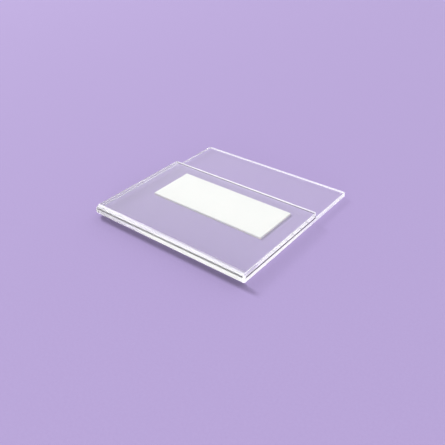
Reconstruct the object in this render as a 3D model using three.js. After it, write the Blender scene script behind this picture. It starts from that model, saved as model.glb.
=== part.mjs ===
// Clear acrylic card holder: one sheet folded back on itself into a flat pocket, with a double-sided
// foam pad under its back leaf.
//
// Millimetres, +Z up. The holder lies on its pad as on a table. X runs along the fold, +Y from the
// fold to the open edge of the long back leaf. The origin is the middle of the footprint, on the
// surface that the release liner rests on.
import * as THREE from 'three';

// Driving dimensions
const WIDTH = 105;
const BACK_DEPTH = 105;
const FRONT_DEPTH = 70;
const SHEET = 3;
const SLOT = 0.3;
const CREASE_DEPTH = 1.3;
const CORNER_RADIUS = 0.8;

const PAD_LENGTH = 78;
const PAD_WIDTH = 30;
const PAD_FROM_FOLD = 34.5;
const FOAM = 0.8;
const ADHESIVE = 0.1;
const LINER = 0.1;

// Worked out from them
const FOLD_Y = -BACK_DEPTH / 2;
const FOLD_OUTER_RADIUS = SHEET + SLOT / 2;
const TANGENT_Y = FOLD_Y + FOLD_OUTER_RADIUS;
const PAD_Y = FOLD_Y + PAD_FROM_FOLD + PAD_WIDTH / 2;
const BACK_LEAF_Z = LINER + ADHESIVE + FOAM + ADHESIVE;
const SLOT_MIDDLE_Z = BACK_LEAF_Z + SHEET + SLOT / 2;
const FRONT_LEAF_Z = BACK_LEAF_Z + SHEET + SLOT;

const ARC_SEGMENTS = 24;
const CORNER_SEGMENTS = 6;

function finish(colour, roughness, extras = {}) {
  return new THREE.MeshStandardMaterial({ color: colour, roughness, metalness: 0, ...extras });
}

const CLEAR_ACRYLIC = finish(0xe6eef4, 0.05, { transparent: true, opacity: 0.35 });
const WHITE_FOAM = finish(0xf4f3ee, 0.8);
const ADHESIVE_FILM = finish(0xefece2, 0.25);
const LINER_PAPER = finish(0xe9dfc4, 0.6);

function named(name, geometry, material) {
  const mesh = new THREE.Mesh(geometry, material);
  mesh.name = name;
  return mesh;
}

// A flat leaf from the fold's tangent line to its free edge, whose two corners are rounded.
function leafGeometry(farY) {
  const side = WIDTH / 2;
  const corner = side - CORNER_RADIUS;
  const outline = new THREE.Shape();
  outline.moveTo(-side, TANGENT_Y);
  outline.lineTo(side, TANGENT_Y);
  outline.lineTo(side, farY - CORNER_RADIUS);
  outline.absarc(corner, farY - CORNER_RADIUS, CORNER_RADIUS, 0, Math.PI / 2, false);
  outline.lineTo(-corner, farY);
  outline.absarc(-corner, farY - CORNER_RADIUS, CORNER_RADIUS, Math.PI / 2, Math.PI, false);
  outline.closePath();
  return new THREE.ExtrudeGeometry(outline, {
    depth: SHEET, bevelEnabled: false, curveSegments: CORNER_SEGMENTS,
  });
}

// The bend that joins the leaves: a half-round section in the YZ plane, drawn out along X. The slot
// runs on into it as a narrow half-elliptical crease, because the hot sheet thins where it stretches.
function foldGeometry() {
  const section = new THREE.Shape();
  section.absarc(0, 0, FOLD_OUTER_RADIUS, Math.PI / 2, 3 * Math.PI / 2, false);
  section.absellipse(0, 0, CREASE_DEPTH, SLOT / 2, 3 * Math.PI / 2, Math.PI / 2, true);
  section.closePath();
  const geometry = new THREE.ExtrudeGeometry(section, {
    depth: WIDTH, bevelEnabled: false, curveSegments: ARC_SEGMENTS,
  });
  geometry.translate(0, 0, -WIDTH / 2);
  // Section x to Y, section y to Z, extrusion to X
  geometry.applyMatrix4(new THREE.Matrix4().makeBasis(
    new THREE.Vector3(0, 1, 0), new THREE.Vector3(0, 0, 1), new THREE.Vector3(1, 0, 0),
  ));
  return geometry;
}

function leaf(name, farY, bottomZ) {
  const mesh = named(name, leafGeometry(farY), CLEAR_ACRYLIC);
  mesh.position.z = bottomZ;
  return mesh;
}

function foldBend() {
  const mesh = named('fold_bend', foldGeometry(), CLEAR_ACRYLIC);
  mesh.position.set(0, TANGENT_Y, SLOT_MIDDLE_Z);
  return mesh;
}

// The pad's layers, from the surface up to the back leaf.
function padLayers() {
  const layers = [
    ['release_liner', LINER, LINER_PAPER],
    ['lower_adhesive', ADHESIVE, ADHESIVE_FILM],
    ['foam_core', FOAM, WHITE_FOAM],
    ['upper_adhesive', ADHESIVE, ADHESIVE_FILM],
  ];
  const pad = new THREE.Group();
  pad.position.y = PAD_Y;
  let bottomZ = 0;
  for (const [name, thickness, material] of layers) {
    const mesh = named(name, new THREE.BoxGeometry(PAD_LENGTH, PAD_WIDTH, thickness), material);
    mesh.position.z = bottomZ + thickness / 2;
    pad.add(mesh);
    bottomZ += thickness;
  }
  return pad;
}

const group = new THREE.Group();
group.name = 'acrylic_card_holder';
group.add(
  leaf('back_leaf', FOLD_Y + BACK_DEPTH, BACK_LEAF_Z),
  foldBend(),
  leaf('front_leaf', FOLD_Y + FRONT_DEPTH, FRONT_LEAF_Z),
  padLayers(),
);

export default group;
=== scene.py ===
"""Looks of a clear acrylic card holder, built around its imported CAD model.

Metres, +Z up, X along the fold, +Y from the fold to the back leaf's open edge. The three CAD nodes of
the folded sheet are shown as one seamless piece, and each layer of the foam pad as its own piece.
"""

import math

import bpy
from mathutils import Matrix, Vector, noise


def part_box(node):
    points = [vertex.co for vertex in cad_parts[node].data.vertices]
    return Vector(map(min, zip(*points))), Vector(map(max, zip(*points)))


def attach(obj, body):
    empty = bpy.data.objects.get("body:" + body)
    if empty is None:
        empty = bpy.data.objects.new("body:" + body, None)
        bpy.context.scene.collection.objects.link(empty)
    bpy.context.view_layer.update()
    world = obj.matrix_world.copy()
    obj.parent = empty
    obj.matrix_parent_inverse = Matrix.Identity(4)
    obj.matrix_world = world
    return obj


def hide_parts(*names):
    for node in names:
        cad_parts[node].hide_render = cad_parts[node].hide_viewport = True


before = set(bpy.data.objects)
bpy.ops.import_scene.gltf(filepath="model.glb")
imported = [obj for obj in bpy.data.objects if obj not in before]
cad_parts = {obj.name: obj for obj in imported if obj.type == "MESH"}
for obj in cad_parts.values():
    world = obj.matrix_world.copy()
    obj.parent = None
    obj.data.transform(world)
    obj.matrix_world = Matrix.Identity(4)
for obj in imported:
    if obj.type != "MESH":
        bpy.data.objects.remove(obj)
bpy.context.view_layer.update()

MM = 0.001

# Sizes from the frame
BACK_LOW, BACK_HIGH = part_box("back_leaf")
FRONT_LOW, FRONT_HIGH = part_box("front_leaf")
WIDTH = BACK_HIGH[0] - BACK_LOW[0]
SHEET = BACK_HIGH[2] - BACK_LOW[2]
TANGENT_Y = BACK_LOW[1]
BACK_FLAT = BACK_HIGH[1] - TANGENT_Y
FRONT_FLAT = FRONT_HIGH[1] - TANGENT_Y
BEND_Z = (BACK_HIGH[2] + FRONT_LOW[2]) / 2
BEND_RADIUS = (FRONT_LOW[2] - BACK_HIGH[2] + SHEET) / 2
BEND_LENGTH = math.pi * BEND_RADIUS
SHEET_LENGTH = BACK_FLAT + BEND_LENGTH + FRONT_FLAT
SLOT_MOUTH = BACK_FLAT - FRONT_FLAT

# The folded sheet's shape
CORNER_RADIUS = 0.8 * MM
ARRIS_RADIUS = 0.36 * MM
FOLD_NARROWING = 0.12 * MM
CREASE_DEPTH = 1.3 * MM

# How much of the bend's inner side has a near-black skin of painted shade, around its middle
CREASE_SHARE = 0.7

# How finely the folded sheet is meshed
CORNER_STEPS = 8
ARRIS_STEPS = 4
BEND_STEPS = 48
COLUMNS = 24
LEAF_STOPS = (0.2, 0.5, 0.8, 0.95)

# The folded sheet's material slots
FACE_SLOT, EDGE_SLOT, FOLD_SLOT, SHADE_PAINTED_SLOT, END_SLOT, FRONT_SLOT = range(6)

# The foam pad: its mesh, how its sides waver, and how far its top film wets the back leaf
STRIP_COLUMNS = 52
STRIP_ROWS = 20
STRIP_LEVELS = 4
WAVER_SCALE = (300, 300, 900)
FILM_WAVER = 0.05 * MM
FOAM_WAVER = 0.12 * MM
LINER_WAVER = 0.03 * MM
WETTING = 0.02 * MM

# The photograph's viewpoint
CAMERA_PLACE = (0.1739, -0.2203, 0.1751)
CAMERA_AZIMUTH = 38.44
CAMERA_ELEVATION = 33.56
CAMERA_ROLL = -0.80
CAMERA_LENS = 44.96
CAMERA_SENSOR = 36.0
CAMERA_NEAR = 0.001

# How bright the studio is, by the height of the direction (-1 straight down, 0 level, 1 straight up)
SKY = ((-1.0, 0.5), (-0.03, 0.5), (0.0, 2.6), (0.07, 2.6), (0.17, 1.0), (0.38, 0.78), (0.65, 0.78),
       (0.85, 0.4), (1.0, 0.4))

# The floor is a hair below the liner, so that the two are not in one plane
FLOOR_Z = -0.02 * MM
FLOOR_HALF = 30.0

# Light is mirrored along the inside of the sheet from edge to edge
LIGHT_BOUNCES = 64

ACRYLIC_IOR = 1.49
ACRYLIC_TINT = (0.985, 0.99, 0.995, 1)
CUT_TINT = (0.97, 0.975, 0.98, 1)

# The range that most of a noise texture's values lie in
NOISE_RANGE = (0.3, 0.7)


# ---------------------------------------------------------------- node helpers
def new_material(name):
    material = bpy.data.materials.new(name)
    material.use_nodes = True
    material.node_tree.nodes.clear()
    return material, material.node_tree


def add(tree, kind, **inputs):
    """A node of that kind, with its inputs set by name, where an underscore stands for a space."""
    node = tree.nodes.new(kind)
    for name, value in inputs.items():
        node.inputs[name.replace("_", " ")].default_value = value
    return node


def link(tree, source, target):
    tree.links.new(source, target)


def position(tree):
    return add(tree, "ShaderNodeTexCoord").outputs["Object"]


def noise_value(tree, place, scale, detail=3.0, roughness=0.5):
    node = add(tree, "ShaderNodeTexNoise", Scale=scale, Detail=detail, Roughness=roughness)
    link(tree, place, node.inputs["Vector"])
    return node.outputs["Fac"]


def streaks_value(tree, place, stretch, detail, roughness=0.5):
    """Noise whose grain is finer along the axes with the larger stretch."""
    mapping = add(tree, "ShaderNodeMapping", Scale=stretch)
    link(tree, place, mapping.inputs["Vector"])
    return noise_value(tree, mapping.outputs["Vector"], 1.0, detail, roughness)


def remap(tree, value, before, after):
    """value, with the range before turned into the range after, and clamped to it."""
    node = add(tree, "ShaderNodeMapRange")
    for socket, number in zip(("From Min", "From Max", "To Min", "To Max"), (*before, *after)):
        node.inputs[socket].default_value = number
    link(tree, value, node.inputs["Value"])
    return node.outputs["Result"]


def bump(tree, height, distance, strength=1.0):
    node = add(tree, "ShaderNodeBump", Distance=distance, Strength=strength)
    link(tree, height, node.inputs["Height"])
    return node.outputs["Normal"]


def mix_colours(tree, factor, first, second):
    node = tree.nodes.new("ShaderNodeMix")
    node.data_type = "RGBA"
    colours = {socket.name: socket for socket in node.inputs if socket.type == "RGBA"}
    colours["A"].default_value = (*first, 1)
    colours["B"].default_value = (*second, 1)
    link(tree, factor, node.inputs["Factor"])
    return next(socket for socket in node.outputs if socket.type == "RGBA")


def finish_surface(tree, shader):
    link(tree, shader, add(tree, "ShaderNodeOutputMaterial").inputs["Surface"])


# ------------------------------------------------------------------- materials
def passing_light(tree, shader, share):
    """shader, but with that share of the light from lamps and matt surfaces passing straight through."""
    through = add(tree, "ShaderNodeBsdfTransparent", Color=(share, share, share, 1))
    rays = add(tree, "ShaderNodeLightPath")
    for kind in ("Is Diffuse Ray", "Is Shadow Ray"):
        mix = add(tree, "ShaderNodeMixShader")
        link(tree, rays.outputs[kind], mix.inputs[0])
        link(tree, shader, mix.inputs[1])
        link(tree, through.outputs[0], mix.inputs[2])
        shader = mix.outputs[0]
    return shader


def clear_face_material():
    """Polished faces of a cast sheet: faint smudges, and long waves too slight to see."""
    material, tree = new_material("clear_acrylic_face")
    place = position(tree)
    shader = add(tree, "ShaderNodeBsdfPrincipled", IOR=ACRYLIC_IOR, Base_Color=ACRYLIC_TINT,
                 Transmission_Weight=1.0)
    smudges = noise_value(tree, place, scale=90.0, detail=4.0, roughness=0.6)
    waves = noise_value(tree, place, scale=45.0, detail=1.0)
    link(tree, remap(tree, smudges, (0.5, 0.8), (0.0, 0.02)), shader.inputs["Roughness"])
    link(tree, bump(tree, waves, 0.004 * MM), shader.inputs["Normal"])
    finish_surface(tree, passing_light(tree, shader.outputs[0], share=0.99))
    return material


def cut_edge_material(name, clear):
    """A sawn and buffed edge: partly clear and partly frosted white, with fine marks across it.

    clear is the range of the clear share over the edge. The rest is frosted.
    """
    material, tree = new_material(name)
    shader = add(tree, "ShaderNodeBsdfPrincipled", IOR=ACRYLIC_IOR, Base_Color=CUT_TINT)
    marks = streaks_value(tree, position(tree), stretch=(1500, 1500, 90), detail=2.0)
    link(tree, remap(tree, marks, NOISE_RANGE, clear), shader.inputs["Transmission Weight"])
    link(tree, remap(tree, marks, NOISE_RANGE, (0.12, 0.04)), shader.inputs["Roughness"])
    link(tree, bump(tree, marks, 0.002 * MM), shader.inputs["Normal"])
    finish_surface(tree, passing_light(tree, shader.outputs[0], share=0.8))
    return material


def bend_material():
    """The heat-formed bend: slightly frosted, with long soft ripples along it."""
    material, tree = new_material("clear_acrylic_fold")
    shader = add(tree, "ShaderNodeBsdfPrincipled", IOR=ACRYLIC_IOR, Base_Color=ACRYLIC_TINT,
                 Transmission_Weight=1.0)
    ripples = streaks_value(tree, position(tree), stretch=(40, 300, 300), detail=1.0)
    link(tree, remap(tree, ripples, NOISE_RANGE, (0.28, 0.36)), shader.inputs["Roughness"])
    link(tree, bump(tree, ripples, 0.004 * MM), shader.inputs["Normal"])
    finish_surface(tree, passing_light(tree, shader.outputs[0], share=0.1))
    return material


def shade_painted_material():
    """Near-black dull skin that is painted shade: a dark line in the pinched tip of the crease, and on
    the arrises beside the slot.
    """
    material, tree = new_material("painted_shade_acrylic")
    shader = add(tree, "ShaderNodeBsdfPrincipled", IOR=ACRYLIC_IOR, Transmission_Weight=0.1)
    streaks = streaks_value(tree, position(tree), stretch=(120, 900, 900), detail=3.0)
    # near-black colour: painted shade
    colour = mix_colours(tree, streaks, (0.03, 0.027, 0.035), (0.09, 0.08, 0.10))
    link(tree, colour, shader.inputs["Base Color"])
    link(tree, remap(tree, streaks, NOISE_RANGE, (0.25, 0.45)), shader.inputs["Roughness"])
    link(tree, bump(tree, streaks, 0.01 * MM), shader.inputs["Normal"])
    finish_surface(tree, passing_light(tree, shader.outputs[0], share=0.5))
    return material


def foam_material():
    """White closed-cell foam: fine cells, slightly uneven whiteness, and a grey that is partly painted
    shade.
    """
    material, tree = new_material("white_foam_cells")
    place = position(tree)
    shader = add(tree, "ShaderNodeBsdfPrincipled", IOR=1.45, Subsurface_Weight=0.2,
                 Subsurface_Scale=0.5 * MM)
    cells = add(tree, "ShaderNodeTexVoronoi", Scale=3500.0)
    link(tree, place, cells.inputs["Vector"])
    patches = noise_value(tree, place, scale=160.0, detail=4.0)
    # grey-white: partly the foam's own tone, partly painted shade on its sides, which are all of it that
    # shows
    colour = mix_colours(tree, patches, (0.66, 0.66, 0.65), (0.76, 0.76, 0.74))
    link(tree, colour, shader.inputs["Base Color"])
    link(tree, remap(tree, cells.outputs["Distance"], (0.0, 1.0), (0.9, 0.6)), shader.inputs["Roughness"])
    link(tree, bump(tree, cells.outputs["Distance"], 0.05 * MM), shader.inputs["Normal"])
    finish_surface(tree, shader.outputs[0])
    return material


def adhesive_material(name, colours, roughness):
    """Film with the patchy look of glue that has wetted the surface unevenly."""
    material, tree = new_material(name)
    place = position(tree)
    shader = add(tree, "ShaderNodeBsdfPrincipled", IOR=1.47)
    patches = noise_value(tree, place, scale=260.0, detail=5.0, roughness=0.6)
    specks = noise_value(tree, place, scale=2200.0, detail=2.0)
    colour = mix_colours(tree, remap(tree, patches, (0.35, 0.65), (0, 1)), *colours)
    link(tree, colour, shader.inputs["Base Color"])
    link(tree, remap(tree, specks, NOISE_RANGE, roughness), shader.inputs["Roughness"])
    link(tree, bump(tree, specks, 0.02 * MM), shader.inputs["Normal"])
    finish_surface(tree, shader.outputs[0])
    return material


def liner_material():
    """Silicone-coated paper: fibres under a slight sheen."""
    material, tree = new_material("coated_liner_paper")
    place = position(tree)
    shader = add(tree, "ShaderNodeBsdfPrincipled", IOR=1.45)
    fibres = streaks_value(tree, place, stretch=(500, 1600, 500), detail=6.0, roughness=0.65)
    clouds = noise_value(tree, place, scale=120.0, detail=3.0)
    colour = mix_colours(tree, clouds, (0.78, 0.72, 0.56), (0.86, 0.81, 0.67))
    link(tree, colour, shader.inputs["Base Color"])
    link(tree, remap(tree, fibres, NOISE_RANGE, (0.35, 0.6)), shader.inputs["Roughness"])
    link(tree, bump(tree, fibres, 0.02 * MM), shader.inputs["Normal"])
    finish_surface(tree, shader.outputs[0])
    return material


def floor_material():
    """Plain matt floor in a pale tint."""
    material, tree = new_material("pale_floor")
    shader = add(tree, "ShaderNodeBsdfPrincipled", IOR=1.4, Roughness=0.9, Specular_IOR_Level=0.2)
    grain = noise_value(tree, position(tree), scale=900.0, detail=4.0, roughness=0.6)
    colour = mix_colours(tree, grain, (0.40, 0.31, 0.58), (0.44, 0.35, 0.62))
    link(tree, colour, shader.inputs["Base Color"])
    link(tree, bump(tree, grain, 0.1 * MM, strength=0.4), shader.inputs["Normal"])
    finish_surface(tree, shader.outputs[0])
    return material


# ---------------------------------------------------------------- mesh helpers
def new_piece(name, vertices, faces, materials, face_materials=None, normals=None):
    mesh = bpy.data.meshes.new(name)
    mesh.from_pydata([tuple(vertex) for vertex in vertices], [], faces)
    for material in materials:
        mesh.materials.append(material)
    if face_materials is not None:
        mesh.polygons.foreach_set("material_index", face_materials)
    if normals is not None:
        mesh.polygons.foreach_set("use_smooth", [True] * len(faces))
        mesh.normals_split_custom_set_from_vertices([tuple(normal.normalized()) for normal in normals])
    mesh.validate()
    mesh.update()
    piece = bpy.data.objects.new(name, mesh)
    bpy.context.scene.collection.objects.link(piece)
    return piece


def opposite(corners, which, value):
    """The face across from that one: its corners in reverse, with one of their three numbers changed."""
    return [(*corner[:which], value, *corner[which + 1:]) for corner in reversed(corners)]


# ----------------------------------------------------------- the folded sheet
def fold(along, out):
    """Where a point of the flat sheet goes: (y, z), the direction along the sheet, and its outer side.

    along runs from the back leaf's free edge round the bend to the front leaf's free edge. out is the
    distance from the sheet's middle towards the outside of the bend. The bend's outer side is a half
    circle, and its inner side a half ellipse, because the stretched sheet is thinner there.
    """
    past_back = along - BACK_FLAT
    past_bend = past_back - BEND_LENGTH
    centre = Vector((TANGENT_Y, BEND_Z))
    if past_back <= 0:
        direction, outer = Vector((-1, 0)), Vector((0, -1))
        return centre + Vector((-past_back, -BEND_RADIUS - out)), direction, outer
    if past_bend >= 0:
        direction, outer = Vector((1, 0)), Vector((0, 1))
        return centre + Vector((past_bend, BEND_RADIUS + out)), direction, outer
    angle = -math.pi / 2 - past_back / BEND_RADIUS
    share = out / SHEET + 0.5
    inner_half = BEND_RADIUS - SHEET / 2
    outer_half = BEND_RADIUS + SHEET / 2
    across = CREASE_DEPTH + (outer_half - CREASE_DEPTH) * share
    up = inner_half + (outer_half - inner_half) * share
    direction = Vector((across * math.sin(angle), -up * math.cos(angle))).normalized()
    outer = Vector((-direction[1], direction[0]))
    return centre + Vector((across * math.cos(angle), up * math.sin(angle))), direction, outer


def bend_share(along):
    """1 in the middle of the bend, falling smoothly to 0 a little way along each leaf."""
    from_middle = abs(along - BACK_FLAT - BEND_LENGTH / 2)
    reach = BEND_LENGTH / 2 + SHEET
    return max(0.0, math.cos(min(from_middle / reach, 1.0) * math.pi / 2)) ** 2


def sheet_rows(inset):
    """(distance along, half width, edge direction (x, along)) of each row of the inset outline."""
    radius = CORNER_RADIUS - inset
    corner_half = WIDTH / 2 - CORNER_RADIUS
    start = []
    for step in range(CORNER_STEPS + 1):
        turn = math.pi / 2 * (1 - step / CORNER_STEPS)
        start.append((CORNER_RADIUS - radius * math.sin(turn), corner_half + radius * math.cos(turn),
                      (math.cos(turn), -math.sin(turn))))
    stops = [CORNER_RADIUS + share * (BACK_FLAT - CORNER_RADIUS) for share in LEAF_STOPS]
    stops = sorted(stops + [SLOT_MOUTH])
    stops += [BACK_FLAT + BEND_LENGTH * step / BEND_STEPS for step in range(BEND_STEPS + 1)]
    stops += [SHEET_LENGTH - CORNER_RADIUS - share * (FRONT_FLAT - CORNER_RADIUS)
              for share in reversed(LEAF_STOPS)]
    middle = [(along, WIDTH / 2 - inset, (1, 0)) for along in stops]
    end = [(SHEET_LENGTH - along, half, (edge[0], -edge[1])) for along, half, edge in reversed(start)]
    return start + middle + end


def arris_profile():
    """(inset, out, share of the edge's direction, share of the outer side) from face to face.

    The first ARRIS_STEPS levels round off the sheet's inner face, and the last ones its outer face.
    """
    flat = SHEET / 2 - ARRIS_RADIUS
    profile = []
    for side in (-1, 1):
        for step in range(ARRIS_STEPS + 1):
            turn = math.pi / 2 * step / ARRIS_STEPS
            if side < 0:
                turn = math.pi / 2 - turn
            profile.append((ARRIS_RADIUS * (1 - math.cos(turn)),
                            side * (flat + ARRIS_RADIUS * math.sin(turn)),
                            math.cos(turn), side * math.sin(turn)))
    return profile


def sheet_points(profile):
    """The sheet's vertices and their normals, and which vertex each (level, row, column) is."""
    columns = [2 * column / COLUMNS - 1 for column in range(COLUMNS + 1)]
    vertices, normals, index = [], [], {}
    for level, (inset, out, edge_share, side_share) in enumerate(profile):
        on_face = level in (0, len(profile) - 1)
        rows = sheet_rows(inset)
        for row, (along, half, edge) in enumerate(rows):
            at_end = row in (0, len(rows) - 1)
            (y, z), direction, outer = fold(along, out)
            narrowing = FOLD_NARROWING * bend_share(along) * (out / SHEET + 0.5)
            in_section = edge_share * edge[1] * direction + side_share * outer
            for column, across in enumerate(columns):
                at_side = column in (0, COLUMNS)
                if not (on_face or at_end or at_side):
                    continue
                sideways = edge_share * edge[0] * across if at_side else 0.0
                index[level, row, column] = len(vertices)
                vertices.append(Vector(((half - narrowing) * across, y, z)))
                normals.append(Vector((sideways, *in_section)))
    return vertices, normals, index


def face_slots(along):
    """The material slots of the sheet's inner and outer face at that distance along."""
    from_bend_middle = abs(along - BACK_FLAT - BEND_LENGTH / 2)
    # the middle of the crease's inner side gets the painted shade skin
    if from_bend_middle < CREASE_SHARE * BEND_LENGTH / 2:
        return SHADE_PAINTED_SLOT, FOLD_SLOT
    if from_bend_middle < BEND_LENGTH / 2:
        return FOLD_SLOT, FOLD_SLOT
    return FACE_SLOT, FACE_SLOT


def side_slot(level, along):
    """The material slot of the sheet's two sides at that level of the profile and distance along."""
    # the inner arrises beside the slot get painted shade
    if SLOT_MOUTH < along < BACK_FLAT and level < ARRIS_STEPS:
        return SHADE_PAINTED_SLOT
    if along > BACK_FLAT + BEND_LENGTH and level == ARRIS_STEPS:
        return FRONT_SLOT
    return EDGE_SLOT


def sheet_faces(last):
    """The corners (level, row, column) and the material slot of each face, for levels 0 to last."""
    stops = [along for along, _, _ in sheet_rows(0)]
    last_row = len(stops) - 1
    faces = []
    for row in range(last_row):
        middle = (stops[row] + stops[row + 1]) / 2
        inner_slot, outer_slot = face_slots(middle)
        for column in range(COLUMNS):
            inner = [(0, row + 1, column), (0, row + 1, column + 1),
                     (0, row, column + 1), (0, row, column)]
            faces.append((inner, inner_slot))
            faces.append((opposite(inner, 0, last), outer_slot))
        for level in range(last):
            slot = side_slot(level, middle)
            right = [(level, row + 1, COLUMNS), (level + 1, row + 1, COLUMNS),
                     (level + 1, row, COLUMNS), (level, row, COLUMNS)]
            faces.append((right, slot))
            faces.append((opposite(right, 2, 0), slot))
    for level in range(last):
        for column in range(COLUMNS):
            back_end = [(level, 0, column + 1), (level + 1, 0, column + 1),
                        (level + 1, 0, column), (level, 0, column)]
            faces.append((back_end, END_SLOT))
            # the front leaf's end arrises that face the slot get painted shade
            front_slot = SHADE_PAINTED_SLOT if level < ARRIS_STEPS else END_SLOT
            faces.append((opposite(back_end, 1, last_row), front_slot))
    return faces


def make_folded_sheet():
    profile = arris_profile()
    vertices, normals, index = sheet_points(profile)
    corners_and_slots = sheet_faces(len(profile) - 1)
    faces = [[index[corner] for corner in corners] for corners, _ in corners_and_slots]
    by_slot = {
        FACE_SLOT: clear_face_material(),
        EDGE_SLOT: cut_edge_material("clear_acrylic_edge", clear=(0.5, 0.6)),
        FOLD_SLOT: bend_material(),
        SHADE_PAINTED_SLOT: shade_painted_material(),
        END_SLOT: cut_edge_material("clear_acrylic_end", clear=(0.15, 0.3)),
        FRONT_SLOT: cut_edge_material("clear_acrylic_front_edge", clear=(0.75, 0.85)),
    }
    piece = new_piece("folded_sheet", vertices, faces, [by_slot[slot] for slot in sorted(by_slot)],
                      face_materials=[slot for _, slot in corners_and_slots], normals=normals)
    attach(piece, "holder")
    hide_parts("back_leaf", "fold_bend", "front_leaf")


# -------------------------------------------------------------- the foam pad
def strip_points(low, high, waver, seed, top_lift):
    """A strip's vertices, and which vertex each (level, column, row) is."""
    vertices, index = [], {}
    for level in range(STRIP_LEVELS + 1):
        lift = top_lift if level == STRIP_LEVELS else 0.0
        z = low[2] + (high[2] - low[2]) * level / STRIP_LEVELS + lift
        for column in range(STRIP_COLUMNS + 1):
            for row in range(STRIP_ROWS + 1):
                at_rim = column in (0, STRIP_COLUMNS) or row in (0, STRIP_ROWS)
                if not at_rim and level not in (0, STRIP_LEVELS):
                    continue
                x = low[0] + (high[0] - low[0]) * column / STRIP_COLUMNS
                y = low[1] + (high[1] - low[1]) * row / STRIP_ROWS
                if at_rim:
                    place = Vector((x * WAVER_SCALE[0], y * WAVER_SCALE[1], z * WAVER_SCALE[2] + seed))
                    inwards = waver * (0.5 + 0.5 * noise.noise(place))
                    x += inwards * ((column == 0) - (column == STRIP_COLUMNS))
                    y += inwards * ((row == 0) - (row == STRIP_ROWS))
                index[level, column, row] = len(vertices)
                vertices.append(Vector((x, y, z)))
    return vertices, index


def strip_faces():
    """The corners (level, column, row) of each of a strip's faces."""
    faces = []
    for column in range(STRIP_COLUMNS):
        for row in range(STRIP_ROWS):
            bottom = [(0, column, row), (0, column, row + 1),
                      (0, column + 1, row + 1), (0, column + 1, row)]
            faces += [bottom, opposite(bottom, 0, STRIP_LEVELS)]
    for level in range(STRIP_LEVELS):
        for column in range(STRIP_COLUMNS):
            near = [(level, column, 0), (level, column + 1, 0),
                    (level + 1, column + 1, 0), (level + 1, column, 0)]
            faces += [near, opposite(near, 2, STRIP_ROWS)]
        for row in range(STRIP_ROWS):
            left = [(level, 0, row), (level + 1, 0, row), (level + 1, 0, row + 1), (level, 0, row + 1)]
            faces += [left, opposite(left, 1, STRIP_COLUMNS)]
    return faces


def strip(name, node, material, waver, seed, top_lift=0.0):
    """A cut strip in its CAD node's box: its four sides waver inwards by up to waver."""
    low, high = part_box(node)
    vertices, index = strip_points(low, high, waver, seed, top_lift)
    faces = [[index[corner] for corner in corners] for corners in strip_faces()]
    return new_piece(name, vertices, faces, [material])


def make_pad():
    bonded = adhesive_material("bonded_adhesive", ((0.91, 0.92, 0.89), (0.94, 0.94, 0.91)), (0.35, 0.55))
    upper = strip("upper_adhesive_film", "upper_adhesive", bonded, FILM_WAVER, seed=1, top_lift=WETTING)
    foam = strip("foam_tape_core", "foam_core", foam_material(), FOAM_WAVER, seed=2)
    tacky = adhesive_material("tacky_adhesive", ((0.80, 0.78, 0.70), (0.88, 0.87, 0.80)), (0.15, 0.3))
    lower = strip("lower_adhesive_film", "lower_adhesive", tacky, FILM_WAVER, seed=3)
    liner = strip("peel_off_liner", "release_liner", liner_material(), LINER_WAVER, seed=4)
    for piece, node, body, slot in (
        (upper, "upper_adhesive", "holder", "adhesive"),
        (foam, "foam_core", "holder", "white_foam"),
        (lower, "lower_adhesive", "holder", "adhesive"),
        (liner, "release_liner", "liner", "liner_paper"),
    ):
        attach(piece, body)
        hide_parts(node)


# ------------------------------------------------------------------- the studio
def make_camera():
    camera = bpy.data.objects.new("camera", bpy.data.cameras.new("camera"))
    camera.data.lens = CAMERA_LENS
    camera.data.sensor_width = CAMERA_SENSOR
    camera.data.clip_start = CAMERA_NEAR
    turn = Matrix.Rotation(math.radians(CAMERA_AZIMUTH), 4, "Z")
    tilt = Matrix.Rotation(math.radians(90 - CAMERA_ELEVATION), 4, "X")
    roll = Matrix.Rotation(math.radians(CAMERA_ROLL), 4, "Z")
    camera.matrix_world = Matrix.Translation(CAMERA_PLACE) @ turn @ tilt @ roll
    bpy.context.scene.collection.objects.link(camera)
    bpy.context.scene.camera = camera


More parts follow.
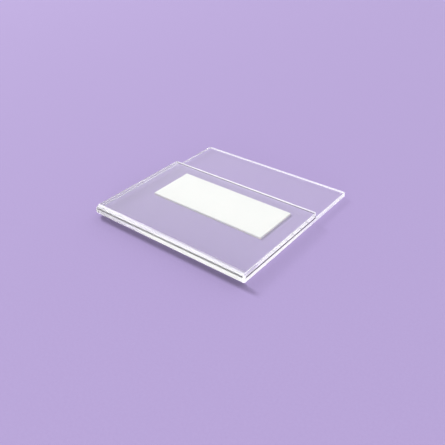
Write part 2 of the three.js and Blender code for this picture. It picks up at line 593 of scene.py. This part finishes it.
def make_world():
    """A soft sky: brightest in a low band that the edges catch, greyer where the flat faces mirror it."""
    world = bpy.data.worlds.new("studio")
    bpy.context.scene.world = world
    world.use_nodes = True
    tree = world.node_tree
    tree.nodes.clear()
    split = add(tree, "ShaderNodeSeparateXYZ")
    link(tree, add(tree, "ShaderNodeTexCoord").outputs["Generated"], split.inputs[0])
    ramp = tree.nodes.new("ShaderNodeValToRGB")
    stops = ramp.color_ramp.elements
    while len(stops) > 1:
        stops.remove(stops[-1])
    for number, (height, bright) in enumerate(SKY):
        place = (height + 1) / 2
        stop = stops[0] if number == 0 else stops.new(place)
        stop.position = place
        stop.color = (bright, bright, bright, 1)
    link(tree, remap(tree, split.outputs["Z"], (-1, 1), (0, 1)), ramp.inputs[0])
    background = add(tree, "ShaderNodeBackground", Strength=1.0)
    link(tree, ramp.outputs[0], background.inputs["Color"])
    link(tree, background.outputs[0], add(tree, "ShaderNodeOutputWorld").inputs["Surface"])


def make_floor():
    corners = [(x * FLOOR_HALF, y * FLOOR_HALF, FLOOR_Z) for x, y in ((-1, -1), (1, -1), (1, 1), (-1, 1))]
    new_piece("floor", corners, [[0, 1, 2, 3]], [floor_material()])


def softbox(name, place, width, height, watts, in_mirrors):
    """A rectangular lamp that faces the object. in_mirrors says whether shiny surfaces show it."""
    light = bpy.data.lights.new(name, "AREA")
    light.shape = "RECTANGLE"
    light.size = width
    light.size_y = height
    light.energy = watts
    lamp = bpy.data.objects.new(name, light)
    lamp.visible_glossy = in_mirrors
    lamp.visible_transmission = in_mirrors
    lamp.location = place
    lamp.rotation_euler = (-Vector(place)).to_track_quat("-Z", "Y").to_euler()
    bpy.context.scene.collection.objects.link(lamp)


def set_light_paths():
    scene = bpy.context.scene
    scene.view_settings.view_transform = "Standard"
    scene.cycles.max_bounces = LIGHT_BOUNCES
    scene.cycles.transmission_bounces = LIGHT_BOUNCES
    scene.cycles.glossy_bounces = LIGHT_BOUNCES
    scene.cycles.transparent_max_bounces = LIGHT_BOUNCES
    scene.cycles.caustics_reflective = False
    scene.cycles.caustics_refractive = False


make_camera()
make_world()
make_floor()
softbox("key_softbox", (-6.95, 1.5, 5.25), width=2.0, height=2.0, watts=570.0, in_mirrors=True)
softbox("front_softbox", (3.4, -8.25, 1.125), width=4.5, height=2.0, watts=512.0, in_mirrors=False)
make_folded_sheet()
make_pad()
set_light_paths()
